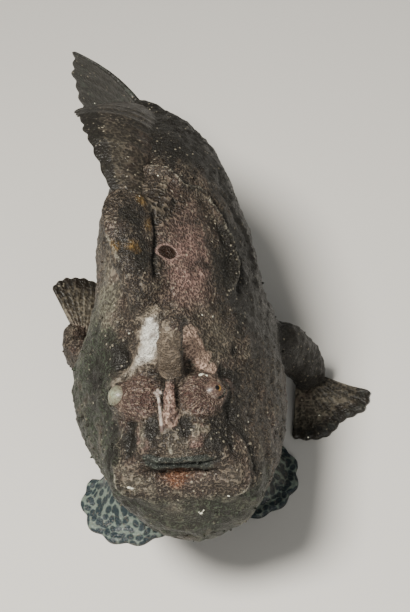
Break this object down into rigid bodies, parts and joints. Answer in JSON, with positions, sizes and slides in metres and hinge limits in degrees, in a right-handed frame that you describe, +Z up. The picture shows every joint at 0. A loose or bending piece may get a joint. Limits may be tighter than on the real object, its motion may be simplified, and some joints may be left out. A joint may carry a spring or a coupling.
{
  "type": "frogfish model",
  "caption": "Life-size still model of a giant frogfish resting on its belly, paired fins and one hand-like fin, with its tail flexed to one side.",
  "frame": {"origin": "middle of the flat of the belly, on the floor", "axes": "+Z up, -Y the way the fish looks, +X the fish's left side"},
  "size_m": [0.1273, 0.2278, 0.1323],
  "materials": {
    "body_skin": "brown-grey to pinkish skin with a fine dark net, pale saddle and warts",
    "fin_skin": "dark blue-grey mottled fin skin over raised rays",
    "eye": "glossy eye with radiating streaks"
  },
  "bodies": {
    "root": {"head": "body_skin", "lower_jaw": "body_skin", "torso": "body_skin", "tail_base": "body_skin", "left_arm": "body_skin", "right_arm": "body_skin", "second_spine": "body_skin", "third_spine": "body_skin", "lure_spine": "body_skin", "left_hand": "fin_skin", "right_hand": "fin_skin", "left_pelvic_fin": "fin_skin", "right_pelvic_fin": "fin_skin", "dorsal_fin": "fin_skin", "anal_fin": "fin_skin", "caudal_fin": "fin_skin", "left_eye": "eye", "right_eye": "eye"}
  },
  "joints": []
}
